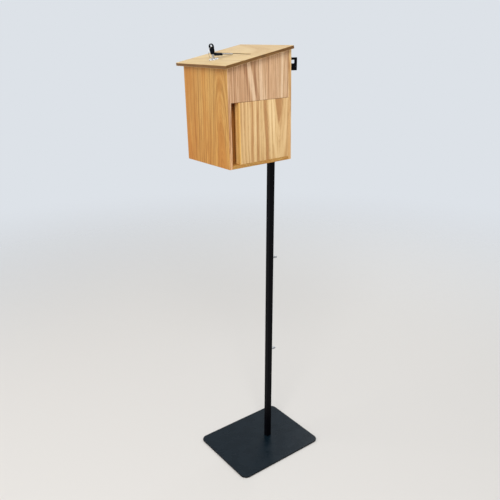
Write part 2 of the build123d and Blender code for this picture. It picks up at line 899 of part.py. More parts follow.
def ring_point(angle):
    """Centre of the wire at an angle counted from the ring's top to the rear."""
    down, through = ring_directions()
    turn = radians(angle)
    return ring_centre() + (through * sin(turn) - down * cos(turn)) * ring_radius


def key_ring():
    plane = Plane(origin=ring_centre(), z_dir=ring_axis())
    return plug_frame * plane.location * Torus(ring_radius, ring_wire_radius)


def spare_axes():
    """The middle of the spare key's hole, the hole's axis and the direction to the key's tip."""
    wire = ring_point(spare_place_on_ring)
    reach = key_head_length - key_hole_from_end + key_blade_length
    fall = asin((wire.Z - spare_tip_height) / reach)
    heading = radians(spare_heading_angle)
    roll = radians(spare_roll_angle)
    upright = Vector(0, 0, 1)
    level = Vector(cos(heading), sin(heading), 0)
    along = level * cos(fall) - upright * sin(fall)
    top = level * sin(fall) + upright * cos(fall)
    across = top * cos(roll) + along.cross(top) * sin(roll)
    return wire + along * spare_hole_off_wire, across, along


def spare_place():
    """Location of the spare key, whose tip comes down close to the lid."""
    hole, across, along = spare_axes()
    origin = hole + along * (key_head_length - key_hole_from_end)
    plane = Plane(origin=origin, x_dir=across.cross(along), z_dir=along * -1)
    return plug_frame * plane.location


def build_stand():
    export("base_plate", base_plate())
    export("foot_bolt", foot_bolt())
    export("foot_plug", foot_plug())
    names = ["pole_lower", "pole_lower_middle", "pole_upper_middle", "pole_top"]
    for index, name in enumerate(names):
        export(name, pole_section(index))
    export("pole_sleeves", *[pole_sleeve(index) for index in range(pole_joint_count)])
    export("thumb_screws", *[thumb_screw(index) for index in range(pole_joint_count)])
    export("crossbar", crossbar())
    export("hook_left", hook_plate(-1))
    export("hook_right", hook_plate(1))


def build_box():
    export_leaning("front_board", front_board())
    export_leaning("back_board", back_board())
    export_leaning("left_side_board", left_side_board())
    export_leaning("right_upper_board", right_upper_board())
    export_leaning("bottom_board", bottom_board())
    export_leaning("pocket_panel", pocket_panel())
    export_leaning("pocket_batten", pocket_batten())
    export_leaning("pocket_partition", pocket_partition())
    export_leaning("pocket_roof", pocket_roof())
    export_leaning("hanger_left", hanger_plate(-1))
    export_leaning("hanger_right", hanger_plate(1))
    export_leaning("hanger_screws", *hanger_screws())
    export_leaning("rear_bumper", bumper())
    export_leaning("felt_pads", felt_pad(-1), felt_pad(1))
    export_leaning("strike_plate", strike_plate())
    export_leaning("strike_screws", *[wood_screw(place, (0, -1, 0)) for place in strike_screws_at()])


def build_hinges():
    export_leaning("hinge_body_leaves", *at_hinges(hinge_leaf_solid("body")))
    export_leaning("hinge_lid_leaves", *at_hinges(hinge_leaf_solid("lid")))
    export_leaning("hinge_pins", *at_hinges(hinge_pin()))
    export_leaning("hinge_body_screws", *hinge_screws("body"))
    export_leaning("hinge_lid_screws", *hinge_screws("lid"))


def build_lid():
    export_leaning("lid_board", lid_board())
    export_leaning("lock_body", lock_body())
    export_leaning("lock_nut", lock_nut())
    export_leaning("lock_plug", lock_plug())
    export_leaning("cam_arm", cam_arm())
    export_leaning("cam_screw", cam_screw())
    export_leaning("key_blade", key_place * key_blade())
    export_leaning("key_head", key_place * key_head())
    export_leaning("key_ring", key_ring())
    export_leaning("spare_key_blade", spare_place() * key_blade())
    export_leaning("spare_key_head", spare_place() * key_head())


os.makedirs("parts", exist_ok=True)
build_stand()
build_box()
build_hinges()
build_lid()
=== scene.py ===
import bpy
import json
import math
from dataclasses import dataclass
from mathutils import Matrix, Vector


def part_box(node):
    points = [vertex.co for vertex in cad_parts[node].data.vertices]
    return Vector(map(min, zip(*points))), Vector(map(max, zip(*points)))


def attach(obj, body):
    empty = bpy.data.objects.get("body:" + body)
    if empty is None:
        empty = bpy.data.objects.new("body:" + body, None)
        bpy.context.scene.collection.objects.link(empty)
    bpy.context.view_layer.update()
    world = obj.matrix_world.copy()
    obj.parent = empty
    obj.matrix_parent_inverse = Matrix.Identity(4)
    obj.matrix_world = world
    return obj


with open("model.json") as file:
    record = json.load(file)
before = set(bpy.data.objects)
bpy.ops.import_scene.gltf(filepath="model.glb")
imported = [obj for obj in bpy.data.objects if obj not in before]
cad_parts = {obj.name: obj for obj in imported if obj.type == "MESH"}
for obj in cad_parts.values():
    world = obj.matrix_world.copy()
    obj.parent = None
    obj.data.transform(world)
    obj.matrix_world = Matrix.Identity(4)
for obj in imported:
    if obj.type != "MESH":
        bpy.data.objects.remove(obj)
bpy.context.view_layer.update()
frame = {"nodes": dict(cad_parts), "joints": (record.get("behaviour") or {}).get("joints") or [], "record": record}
nodes = frame["nodes"]

MM = 0.001  # the script's unit is the metre


# Colours

def srgb(red, green, blue):
    """A colour given as it looks on a screen, 0 to 255, as Blender's linear one."""
    def linear(value):
        value /= 255
        return value / 12.92 if value <= 0.04045 else ((value + 0.055) / 1.055) ** 2.4
    return (linear(red), linear(green), linear(blue), 1.0)


def times(colour, factor):
    """The colour made darker or brighter by a factor."""
    return tuple(value * factor for value in colour[:3]) + (1.0,)


BLACK = srgb(0, 0, 0)
FLOOR = srgb(224, 221, 217)
BACKGROUND = srgb(221, 226, 232)
DAYLIGHT = (0.95, 0.97, 1.0, 1.0)


# Small node graphs

NOISE_RANGE = (0.3, 0.7)  # holds nearly all of a noise texture's values
NOISE_MIDDLE = (0.35, 0.65)  # holds most of them

# The Mix node's sockets for colours: its names are shared with its other kinds of data
MIX_FACTOR, MIX_A, MIX_B, MIX_RESULT = 0, 6, 7, 2


class Graph:
    """Short calls that add the nodes of one material or world."""

    def __init__(self, owner):
        owner.use_nodes = True
        self.owner = owner
        self.tree = owner.node_tree
        self.tree.nodes.clear()

    def add(self, kind, inputs=None, **settings):
        """A new node with its settings, and what goes into its sockets by name or number."""
        node = self.tree.nodes.new("ShaderNode" + kind)
        for key, value in settings.items():
            setattr(node, key, value)
        for key, value in (inputs or {}).items():
            self.feed(node.inputs[key], value)
        return node

    def feed(self, socket, value):
        """Link another node's output to the socket, or set a plain value on it."""
        if isinstance(value, bpy.types.NodeSocket):
            self.tree.links.new(value, socket)
        else:
            socket.default_value = value

    def math(self, operation, a, b=0.0, c=0.0, clamp=False):
        node = self.add("Math", {0: a, 1: b, 2: c}, operation=operation, use_clamp=clamp)
        return node.outputs[0]

    def vector_math(self, operation, a, b=(0.0, 0.0, 0.0)):
        node = self.add("VectorMath", {0: a, 1: b}, operation=operation)
        return node.outputs["Value" if operation in ("DOT_PRODUCT", "LENGTH") else "Vector"]

    def vector(self, x, y, z):
        return self.add("CombineXYZ", {0: x, 1: y, 2: z}).outputs[0]

    def noise(self, vector, scale, detail, roughness):
        inputs = {"Vector": vector, "Scale": scale, "Detail": detail, "Roughness": roughness}
        return self.add("TexNoise", inputs).outputs[0]

    def line_noise(self, value, scale, detail, roughness):
        """Noise that changes with one value only."""
        inputs = {"W": value, "Scale": scale, "Detail": detail, "Roughness": roughness}
        return self.add("TexNoise", inputs, noise_dimensions="1D").outputs[0]

    def fit(self, value, low, high, to_low=0.0, to_high=1.0, smooth=False):
        """The range from low to high turned into another, with its ends held beyond it."""
        kind = "SMOOTHSTEP" if smooth else "LINEAR"
        inputs = {0: value, 1: low, 2: high, 3: to_low, 4: to_high}
        return self.add("MapRange", inputs, interpolation_type=kind).outputs[0]

    def signed(self, noise):
        """A noise texture's value turned into -1 to 1."""
        return self.fit(noise, *NOISE_RANGE, -1.0, 1.0)

    def ramp(self, value, stops):
        """Colours or grey levels at given places, blended in between."""
        node = self.add("ValToRGB", {0: value})
        elements = node.color_ramp.elements
        while len(elements) < len(stops):
            elements.new(0.5)
        for element, (position, colour) in zip(elements, stops):
            element.position = position
            element.color = colour if isinstance(colour, tuple) else (colour, colour, colour, 1.0)
        return node.outputs[0]

    def mix(self, factor, a, b, kind="MIX"):
        inputs = {MIX_FACTOR: factor, MIX_A: a, MIX_B: b}
        return self.add("Mix", inputs, data_type="RGBA", blend_type=kind).outputs[MIX_RESULT]


class Material(Graph):
    """A material's nodes, which know the place and the normal in the object's own axes."""

    def __init__(self, name):
        super().__init__(bpy.data.materials.new(name))
        where = self.add("TexCoord")
        self.place = where.outputs["Object"]
        self.normal = where.outputs["Normal"]

    def close(self, shader):
        """The material, with that shader as its surface."""
        self.add("OutputMaterial", {"Surface": shader.outputs[0]})
        return self.owner

    def finish(self, colour, roughness, relief, strength, distance, **sockets):
        """The material, with its relief as bump and any other socket of the shader by name."""
        shader = self.add("BsdfPrincipled", {"Base Color": colour, "Roughness": roughness})
        for key, value in sockets.items():
            self.feed(shader.inputs[key.replace("_", " ")], value)
        bump = self.add("Bump", {"Height": relief, "Strength": strength, "Distance": distance})
        self.feed(shader.inputs["Normal"], bump.outputs[0])
        return self.close(shader)


# Places and directions, also of the leaning box and of its lid

def middle_of(node):
    low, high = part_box(node)
    return (low + high) / 2


def way_back(node):
    """The direction square to a board's broad faces, turned to the back."""
    broadest = max(nodes[node].data.polygons, key=lambda face: face.area)
    normal = broadest.normal.copy()
    return normal if normal.y > 0 else -normal


X = Vector((1, 0, 0))
Z = Vector((0, 0, 1))
BOX_BACK = way_back("front_board")
BOX_UP = X.cross(BOX_BACK)
lock = next(joint for joint in frame["joints"] if joint["name"] == "lock_turn")
LID_UP = Vector(lock["axis"]).normalized()
LID_BACK = LID_UP.cross(X).normalized()


# What an oak board is described by

class Palette:
    """One wood's colours: pale early wood, middle, dark late wood and a warm stain between them."""

    def __init__(self, light, middle, dark, warm):
        self.light = srgb(*light)
        self.middle = srgb(*middle)
        self.dark = srgb(*dark)
        self.warm = srgb(*warm)

    def shade(self, g, tone, stain):
        colour = g.ramp(tone, [(0.0, self.light), (0.5, self.middle), (1.0, self.dark)])
        return g.mix(stain, colour, self.warm)


@dataclass
class Streak:
    """A broad streak along the grain, darker where its strength is above zero and lighter below."""
    across: float
    slope: float
    half_width: float
    strength: float
    reach: float = 200 * MM


@dataclass
class Wedge:
    """A V of darker heart wood that opens upwards from its tip."""
    tip_across: float
    tip_along: float
    slope: float
    strength: float


@dataclass
class PaintedShade:
    """Painted light and shade: a slow change of colour along a direction, where light falls unevenly on a face:
    all of the factor up to low, and none from high.
    """
    direction: Vector
    low: float
    high: float
    factor: tuple


@dataclass
class FrontStrip:
    """A strip in another palette along the board's front edge, as far as its end across the board: painted light,
    the gold of the lit front faces.
    """
    end: float
    palette: Palette


@dataclass
class Slot:
    """A slot along the board, with deep shade on its walls up to one place and little beyond another."""
    across: float
    half_width: float
    dark_end: float
    light_end: float


@dataclass
class Board:
    """How a board is cut from the trunk and how strong each mark is. Places count from its middle."""
    node: str
    directions: tuple  # across the grain, along it and through the board
    palette: Palette
    seed: float
    heart: tuple = (0.0, 100 * MM)  # the trunk's middle, across and through the board
    taper: float = 0.0  # how fast the trunk narrows along the board, which arches the rings at its heart
    spread: float = 60 * MM  # how wide the arches are
    spacing: float = 6 * MM  # from ring to ring
    sway: float = 6 * MM  # how far the grain wanders to the sides
    rings: float = 0.36  # the strength of the early wood, and below of every other mark
    lines: float = 0.46  # fine lines along the rings
    hair: float = 0.28  # hairlines along the grain
    wash: float = 0.12  # broad clouds
    dashes: float = 0.4  # short dark dashes along the grain
    stain: float = 0.5  # warm patches
    pores: float = 0.5
    streaks: tuple = ()
    wedge: Wedge = None
    front_strip: FrontStrip = None
    edge: Palette = None  # the colours of the narrow sides where they differ from the faces: painted light and shade
    # painted light and shade: slow changes of colour across the board's faces
    painted_shades: tuple = ()
    slot: Slot = None


# The nodes of an oak board

# The early wood over one ring: strongest just after the ring begins
EARLY_WOOD = [(0.0, 0.85), (0.07, 1.0), (0.22, 0.45), (0.45, 0.12), (0.88, 0.0), (1.0, 0.85)]
WEAKEST_RING = 0.5  # as a share of the strongest ring
RING_MEAN = 0.3  # what the early wood adds on average, taken off again to keep the middle tone
RING_DRIFT = 0.8  # how many rings' width the rings wander
QUICK_SWAY = 0.12  # the sway's short waves, as a share of its long ones
MIDDLE_TONE = 0.5
FIBRE_SHADE = 0.06  # how much the fibres show in the tone
LINE_FRESHNESS = (0.6, 1.3)  # how strong the ring lines are in faint and in fresh patches
DASH_RANGE = (0.2, 0.9)  # the part of the noise that dashes are made of, and so on below
PORE_RANGE = (0.32, 0.85)
STAIN_RANGE = (-0.6, 0.8)
WALL_RANGE = (0.25, 0.8)  # from a narrow side to a broad face, by how square to it a place looks
LATE_PORES = 0.1  # the share of its pores that the late wood keeps
STREAK_CORE = 0.4  # the share of a streak's width that has all of its strength
STREAK_FADE = 30 * MM  # the length over which a streak's ends fade
WEDGE_BLUR = 2.5 * MM  # to either side of a wedge's outline
WEDGE_TIP = 15 * MM  # the length from a wedge's tip to its full strength
FRONT_STRIP_BLUR = 0.2 * MM  # to either side of where the front strip ends
SLOT_BLUR = 1.2  # how far a slot's shade reaches, in half widths
SLOT_SHADE = srgb(16, 12, 10)
FAINT_SHADE = 0.3  # the share of it that is left in a slot's light part
PORE_DARKNESS = 0.4  # a pore's colour, as a share of the late wood's
PORE_DEPTH = 0.9  # this and the next two are shares of the relief
RING_DEPTH = 0.3
FIBRE_HEIGHT = 0.1
LACQUER_ROUGHNESS = 0.46
PORE_ROUGHNESS = 0.2  # what an open pore adds to the lacquer's


class Oak(Material):
    """The nodes of one board, in the board's own directions from its middle."""

    def __init__(self, board):
        super().__init__("oak_" + board.node)
        self.board = board
        self.from_middle = self.vector_math("SUBTRACT", self.place, middle_of(board.node))
        self.across, self.along, self.through = (self.level(way) for way in board.directions)
        self.slid = self.math("ADD", self.along, board.seed)
        self.bent = self.swayed()
        self.radius = self.ring_radius()
        self.ring = self.early_wood()
        self.fibre = self.drawn_out(self.across, across=1400.0, along=16.0)

    def level(self, direction):
        """How far from the board's middle a place lies along a direction."""
        return self.vector_math("DOT_PRODUCT", self.from_middle, direction)

    def drawn_out(self, side, across, along, detail=2.0):
        """Noise drawn out along the grain, from -1 to 1, with so many cells per metre each way."""
        scales = ((side, across), (self.slid, along), (self.through, across))
        place = self.vector(*(self.math("MULTIPLY", value, scale) for value, scale in scales))
        return self.signed(self.noise(place, scale=1.0, detail=detail, roughness=0.55))

    def lines(self, value, start, per_metre, detail, roughness):
        """Lines that follow where a value, such as the rings' radius, stays the same, from -1 to 1."""
        moved = self.math("ADD", value, self.board.seed + start)
        return self.signed(self.line_noise(moved, per_metre, detail, roughness))

    def swayed(self):
        """The place across the board, moved aside in long and short waves."""
        long_waves = self.drawn_out(self.across, across=9.0, along=3.0, detail=1.0)
        short_waves = self.drawn_out(self.across, across=60.0, along=9.0, detail=1.0)
        bent = self.math("MULTIPLY_ADD", long_waves, self.board.sway, self.across)
        return self.math("MULTIPLY_ADD", short_waves, self.board.sway * QUICK_SWAY, bent)

    def ring_radius(self):
        """The distance from the trunk's heart, which grows up the board where the trunk narrows."""
        side = self.math("SUBTRACT", self.bent, self.board.heart[0])
        back = self.math("SUBTRACT", self.through, self.board.heart[1])
        squares = self.math("MULTIPLY_ADD", side, side, self.math("MULTIPLY", back, back))
        beside = self.math("DIVIDE", side, self.board.spread)
        narrowing = self.math("DIVIDE", self.board.taper, self.math("MULTIPLY_ADD", beside, beside, 1.0))
        return self.math("MULTIPLY_ADD", self.along, narrowing, self.math("SQRT", squares))

    def early_wood(self):
        """The porous wood that begins each ring, weaker in some rings than in others."""
        spacing = self.board.spacing
        drift = self.lines(self.radius, start=0.0, per_metre=0.2 / spacing, detail=1.0, roughness=0.5)
        rings = self.math("MULTIPLY_ADD", drift, RING_DRIFT, self.math("DIVIDE", self.radius, spacing))
        early = self.ramp(self.math("FRACT", rings), EARLY_WOOD)
        number = {"W": self.math("FLOOR", rings)}
        strength = self.add("TexWhiteNoise", number, noise_dimensions="1D").outputs[0]
        return self.math("MULTIPLY", early, self.fit(strength, 0.0, 1.0, WEAKEST_RING, 1.0))

    def ring_lines(self):
        """Fine lines along the rings, fresher in some places than in others."""
        per_metre = 0.8 / self.board.spacing
        line = self.lines(self.radius, start=3.0, per_metre=per_metre, detail=5.0, roughness=0.72)
        patches = self.drawn_out(self.bent, across=30.0, along=5.0)
        return self.math("MULTIPLY", line, self.fit(patches, -1.0, 1.0, *LINE_FRESHNESS))

    def dashes(self):
        """Short dark dashes along the grain, with clear wood between them."""
        return self.fit(self.drawn_out(self.bent, across=520.0, along=15.0, detail=1.0), *DASH_RANGE)

    def streak(self, streak):
        middle = self.math("MULTIPLY_ADD", self.along, streak.slope, streak.across)
        away = self.math("ABSOLUTE", self.math("SUBTRACT", self.bent, middle))
        core = streak.half_width * STREAK_CORE
        body = self.fit(away, core, streak.half_width, streak.strength, 0.0, smooth=True)
        full = streak.reach - STREAK_FADE
        fade_in = self.fit(self.along, -streak.reach, -full, 0.0, 1.0, smooth=True)
        fade_out = self.fit(self.along, full, streak.reach, 1.0, 0.0, smooth=True)
        return self.math("MULTIPLY", self.math("MULTIPLY", body, fade_in), fade_out)

    def heart_wedge(self, wedge):
        above = self.math("SUBTRACT", self.along, wedge.tip_along)
        away = self.math("ABSOLUTE", self.math("SUBTRACT", self.bent, wedge.tip_across))
        inside = self.math("SUBTRACT", self.math("MULTIPLY", above, wedge.slope), away)
        body = self.fit(inside, -WEDGE_BLUR, WEDGE_BLUR, 0.0, wedge.strength, smooth=True)
        return self.math("MULTIPLY", body, self.fit(above, 0.0, WEDGE_TIP))

    def tone(self):
        """How dark the wood is, from 0 to 1: every mark times its strength, added up."""
        board = self.board
        hairlines = self.lines(self.bent, start=7.0, per_metre=900.0, detail=2.0, roughness=0.6)
        marks = [
            (self.ring, board.rings),
            (self.ring_lines(), board.lines),
            (hairlines, board.hair / 2),
            (self.drawn_out(self.bent, across=420.0, along=5.0), board.hair),
            (self.drawn_out(self.bent, across=14.0, along=3.0, detail=3.0), board.wash),
            (self.dashes(), board.dashes),
            (self.fibre, FIBRE_SHADE),
        ]
        tone = MIDDLE_TONE - board.rings * RING_MEAN
        for mark, strength in marks:
            tone = self.math("MULTIPLY_ADD", mark, strength, tone)
        for streak in board.streaks:
            tone = self.math("ADD", tone, self.streak(streak))
        if board.wedge:
            tone = self.math("ADD", tone, self.heart_wedge(board.wedge))
        return self.fit(tone, 0.0, 1.0)

    def walls(self):
        """1 on the board's narrow sides and 0 on its broad faces."""
        facing = self.vector_math("DOT_PRODUCT", self.normal, self.board.directions[2])
        return self.fit(self.math("ABSOLUTE", facing), *WALL_RANGE, 1.0, 0.0)

    def slot_shade(self, slot):
        away = self.math("ABSOLUTE", self.math("SUBTRACT", self.across, slot.across))
        beside = self.fit(away, slot.half_width, slot.half_width * SLOT_BLUR, 1.0, 0.0)
        shade = self.fit(self.along, slot.dark_end, slot.light_end, 1.0, FAINT_SHADE, smooth=True)
        return self.math("MULTIPLY", self.walls(), self.math("MULTIPLY", beside, shade))

    def colour(self):
        """The palette's colours by tone, then painted light and shade: the front strip's and the edges' palettes,
        the slow painted shades and the slot's shade.
        """
        board = self.board
        tone = self.tone()
        patches = self.drawn_out(self.bent, across=20.0, along=2.0)
        warmth = self.fit(patches, *STAIN_RANGE, 0.0, board.stain, smooth=True)
        colour = board.palette.shade(self, tone, warmth)
        # painted light: the front strip in the gold of the lit front faces
        if board.front_strip:
            end = board.front_strip.end
            strip = self.fit(self.across, end - FRONT_STRIP_BLUR, end + FRONT_STRIP_BLUR, 1.0, 0.0)
            colour = self.mix(strip, colour, board.front_strip.palette.shade(self, tone, warmth))
        # painted light and shade on the narrow sides, where the board has an edge palette
        if board.edge:
            colour = self.mix(self.walls(), colour, board.edge.shade(self, tone, warmth))
        # painted shade: each face darker towards one side, where less light falls
        for shade in board.painted_shades:
            amount = self.fit(self.level(shade.direction), shade.low, shade.high, 1.0, 0.0, smooth=True)
            colour = self.mix(amount, colour, shade.factor + (1.0,), kind="MULTIPLY")
        if board.slot:
            colour = self.mix(self.slot_shade(board.slot), colour, SLOT_SHADE)
        return colour

    def open_pores(self):
        """Short open tubes along the grain, most of them in the early wood."""
        noise = self.drawn_out(self.across, across=1500.0, along=75.0, detail=1.0)
        share = self.math("MULTIPLY_ADD", self.ring, 1 - LATE_PORES, LATE_PORES)
        return self.math("MULTIPLY", self.fit(noise, *PORE_RANGE), share, clamp=True)


def oak(board):
    """Lacquered oak: the board's colours, dark pores and a relief of pores, rings and fibres."""
    g = Oak(board)
    pores = g.open_pores()
    shown = g.math("MULTIPLY", pores, board.pores)
    colour = g.mix(shown, g.colour(), times(board.palette.dark, PORE_DARKNESS))
    relief = g.math("MULTIPLY_ADD", pores, -PORE_DEPTH, g.math("MULTIPLY", g.ring, -RING_DEPTH))
    relief = g.math("MULTIPLY_ADD", g.fibre, FIBRE_HEIGHT, relief)
    roughness = g.math("MULTIPLY_ADD", pores, PORE_ROUGHNESS, LACQUER_ROUGHNESS)
    return g.finish(
        colour, roughness, relief, strength=0.3, distance=0.25 * MM,
        Coat_Weight=0.04, Coat_Roughness=0.25, Specular_IOR_Level=0.2,
    )


# The boards

# Painted light: golden, for the boards that face the front, and rosy, pale and pink, for the faces and edges that
# face the side, stand for one oak; the difference between them is painted light, the front warmer than the side.
golden = Palette((218, 177, 104), (196, 150, 84), (165, 116, 55), (189, 128, 57))
rosy = Palette((252, 223, 186), (222, 182, 140), (179, 135, 99), (218, 168, 124))
pale = Palette((255, 222, 168), (232, 193, 136), (194, 143, 92), (224, 174, 118))
pink = Palette((244, 206, 168), (214, 170, 128), (176, 128, 92), (208, 156, 112))
blond = Palette((234, 210, 161), (224, 196, 146), (205, 170, 117), (228, 198, 142))
# olive: painted shade, the lid's edges darker and browner than its top
olive = Palette((146, 108, 62), (122, 86, 46), (98, 66, 32), (120, 82, 42))
# honey: painted light, the batten brighter than the shade of the pocket's mouth would leave it
honey = Palette((255, 236, 168), (255, 214, 138), (226, 164, 88), (255, 190, 104))
# amber: painted light, the gold of the lit front faces on the pocket panel's front strip
amber = Palette((255, 213, 133), (240, 189, 111), (202, 147, 77), (230, 170, 90))
plain = Palette((226, 156, 84), (206, 138, 66), (176, 112, 48), (206, 128, 56))

front_grain = (X, BOX_UP, BOX_BACK)
side_grain = (BOX_BACK, BOX_UP, X)
bottom_grain = (BOX_BACK, X, BOX_UP)
lid_grain = (LID_BACK, X, LID_UP)

# the width of the pocket panel's golden front strip, which is painted light
front_strip_width = 5.5 * MM
panel_low, panel_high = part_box("pocket_panel")
panel_front_strip = FrontStrip(end=front_strip_width - (panel_high.y - panel_low.y) / 2, palette=amber)

slot_behind_lock = 75 * MM
lock_place = (Vector(lock["pos_m"]) - middle_of("lid_board")).dot(LID_BACK)
lid_slot = Slot(lock_place + slot_behind_lock, half_width=6 * MM, dark_end=12 * MM, light_end=26 * MM)

boards = [
    Board(
        # the narrow sides in pink: painted light, as on the faces that look to the side
        "front_board", front_grain, golden, seed=1.7, edge=pink,
        heart=(70 * MM, 30 * MM), taper=0.1, spread=30 * MM, spacing=6.2 * MM, sway=5 * MM,
        lines=0.6, hair=0.36, wash=0.2, dashes=0.55, stain=0.7,
        # painted shade: darker towards the bottom and towards the left
        painted_shades=(
            PaintedShade(BOX_UP, -130 * MM, 80 * MM, (0.973, 0.854, 0.70)),
            PaintedShade(X, -100 * MM, 50 * MM, (0.985, 0.93, 0.86)),
        ),
    ),
    Board(
        # the narrow sides in pale: painted light, as on the faces that look to the side
        "back_board", front_grain, golden, seed=5.1, edge=pale,
        heart=(-30 * MM, -50 * MM), taper=0.15, spacing=7 * MM,
        # painted shade: darker towards the bottom
        painted_shades=(PaintedShade(BOX_UP, -120 * MM, 60 * MM, (0.9, 0.82, 0.72)),),
    ),
    Board(
        "left_side_board", side_grain, rosy, seed=8.3,
        heart=(-30 * MM, 40 * MM), taper=0.18, spacing=7.5 * MM, rings=0.3, lines=0.34,
    ),
    Board(
        "right_upper_board", side_grain, rosy, seed=2.9,
        heart=(-300 * MM, 20 * MM), taper=0.02, spacing=7.6 * MM, sway=3 * MM,
        rings=0.62, lines=0.5, hair=0.3, wash=0.06, stain=0.3,
        streaks=(
            Streak(-36 * MM, slope=-0.19, half_width=9 * MM, strength=-0.6, reach=120 * MM),
            Streak(-24 * MM, slope=-0.17, half_width=8 * MM, strength=0.4, reach=120 * MM),
            Streak(3 * MM, slope=-0.05, half_width=10 * MM, strength=-0.4, reach=120 * MM),
            Streak(-50 * MM, slope=-0.16, half_width=6 * MM, strength=0.3, reach=120 * MM),
        ),
        # painted shade: darker towards the front
        painted_shades=(PaintedShade(BOX_BACK, -110 * MM, 110 * MM, (0.83, 0.75, 0.71)),),
    ),
    Board(
        # its front strip in amber: painted light
        "pocket_panel", side_grain, pale, seed=4.4, front_strip=panel_front_strip,
        heart=(56 * MM, -20 * MM), taper=-0.1, spread=30 * MM, spacing=9 * MM,
        rings=0.38, lines=0.4, hair=0.2, wash=0.1, dashes=0.35, stain=0.25,
        wedge=Wedge(tip_across=52 * MM, tip_along=8 * MM, slope=0.18, strength=0.55),
        streaks=(
            Streak(4 * MM, slope=-0.05, half_width=4.5 * MM, strength=0.42),
            Streak(-44.5 * MM, slope=0.0, half_width=5 * MM, strength=0.34),
            Streak(-22.5 * MM, slope=0.0, half_width=4 * MM, strength=0.36),
            Streak(22 * MM, slope=-0.05, half_width=14 * MM, strength=-0.3),
            Streak(-33 * MM, slope=0.02, half_width=6 * MM, strength=-0.3),
        ),
        # painted shade: darker towards the bottom
        painted_shades=(PaintedShade(BOX_UP, -100 * MM, 20 * MM, (0.9, 0.87, 0.8)),),
    ),
    Board("bottom_board", bottom_grain, golden, seed=6.2, heart=(30 * MM, 300 * MM), taper=0.03),
    Board(
        # in honey: painted light against the shade of the pocket's mouth
        "pocket_batten", front_grain, honey, seed=0.6,
        heart=(100 * MM, 0.0), taper=0.03, spacing=4 * MM, sway=3 * MM, rings=0.3, lines=0.3,
    ),
    Board(
        "pocket_partition", side_grain, plain, seed=7.7,
        heart=(100 * MM, 100 * MM), taper=0.05, rings=0.24,
    ),
    Board(
        # the lid's edges in olive: painted shade
        "lid_board", lid_grain, blond, seed=3.3, edge=olive, slot=lid_slot,
        heart=(20 * MM, -400 * MM), taper=0.05, spread=300 * MM, spacing=8 * MM, sway=8 * MM,
        rings=0.5, lines=0.55, hair=0.3, stain=0.6, pores=0.3,
        # painted shade: darker towards the back
        painted_shades=(PaintedShade(-LID_BACK, -110 * MM, 80 * MM, (0.93, 0.88, 0.85)),),
    ),
]
wood = {board.node: oak(board) for board in boards}


# Paint, metals, plastic, rubber and felt

SPECK_RANGE = (0.66, 0.72)  # the top of the noise, which specks are made of
RIM_RANGE = (0.4, 0.9)  # from an upright rim to a flat face, by how level a place is
SEAM_LINE = 0.2 * MM  # to either side of a seam, fully dark
SEAM_EDGE = 0.5 * MM  # to either side of a seam, where the dark ends
SEAM_DEPTH = 2.0  # as a share of the paint's own relief


def paint(name, colour, roughness, shine, seams=(), rim=None):
    """Powder coat: a fine orange-peel skin, faint clouds and specks, and dark hairlines at seams."""
    g = Material(name)
    relief = g.noise(g.place, scale=1700.0, detail=2.0, roughness=0.6)
    cloud = g.noise(g.place, scale=24.0, detail=3.0, roughness=0.55)
    specks = g.fit(g.noise(g.place, scale=5200.0, detail=0.0, roughness=0.5), *SPECK_RANGE)
    darker = times(colour, 0.86)
    brighter = times(colour, 1.9)
    tone = g.mix(g.fit(cloud, *NOISE_MIDDLE), darker, colour)
    tone = g.mix(g.math("MULTIPLY", specks, 0.25), tone, brighter)
    if rim:
        flatness = g.math("ABSOLUTE", g.vector_math("DOT_PRODUCT", g.normal, Z))
        tone = g.mix(g.fit(flatness, *RIM_RANGE, 1.0, 0.0), tone, rim)
    for level in seams:
        height = g.vector_math("DOT_PRODUCT", g.place, Z)
        away = g.math("ABSOLUTE", g.math("SUBTRACT", height, level))
        line = g.fit(away, SEAM_LINE, SEAM_EDGE, 1.0, 0.0)
        tone = g.mix(line, tone, BLACK)
        relief = g.math("MULTIPLY_ADD", line, -SEAM_DEPTH, relief)
    rough = g.fit(cloud, *NOISE_RANGE, roughness - 0.05, roughness + 0.06)
    return g.finish(tone, rough, relief, strength=0.3, distance=0.15 * MM, Specular_IOR_Level=shine)


def metal(name, colour, roughness, brushed=(1.0, 1.0, 1.0), wear=0.06, strength=0.05):
    """Plated steel with fine scratches and a little mottling."""
    g = Material(name)
    stretched = g.vector_math("MULTIPLY", g.place, brushed)
    scratches = g.noise(stretched, scale=900.0, detail=3.0, roughness=0.6)
    mottle = g.noise(g.place, scale=160.0, detail=3.0, roughness=0.5)
    tone = g.mix(g.fit(mottle, *NOISE_MIDDLE), times(colour, 0.82), colour)
    rough = g.math("MULTIPLY_ADD", g.signed(scratches), wear, roughness)
    return g.finish(tone, rough, scratches, strength, distance=0.05 * MM, Metallic=1.0)


def plastic(name, colour, roughness):
    """Moulded plastic with a fine spark-eroded grain."""
    g = Material(name)
    grain = g.noise(g.place, scale=5200.0, detail=2.0, roughness=0.6)
    cloud = g.noise(g.place, scale=300.0, detail=2.0, roughness=0.5)
    tone = g.mix(g.fit(cloud, *NOISE_MIDDLE), times(colour, 0.8), colour)
    rough = g.fit(cloud, *NOISE_RANGE, roughness - 0.04, roughness + 0.05)
    return g.finish(tone, rough, grain, strength=0.1, distance=0.05 * MM, Specular_IOR_Level=0.04)


def soft(name, colour, grain, depth):
    """Rubber or felt: matt, with a grain that shows close up."""
    g = Material(name)
    fuzz = g.noise(g.place, grain, detail=3.0, roughness=0.7)
    tone = g.mix(g.fit(fuzz, *NOISE_RANGE), times(colour, 0.6), colour)
    return g.finish(tone, 0.9, fuzz, strength=0.6, distance=depth, Specular_IOR_Level=0.25)


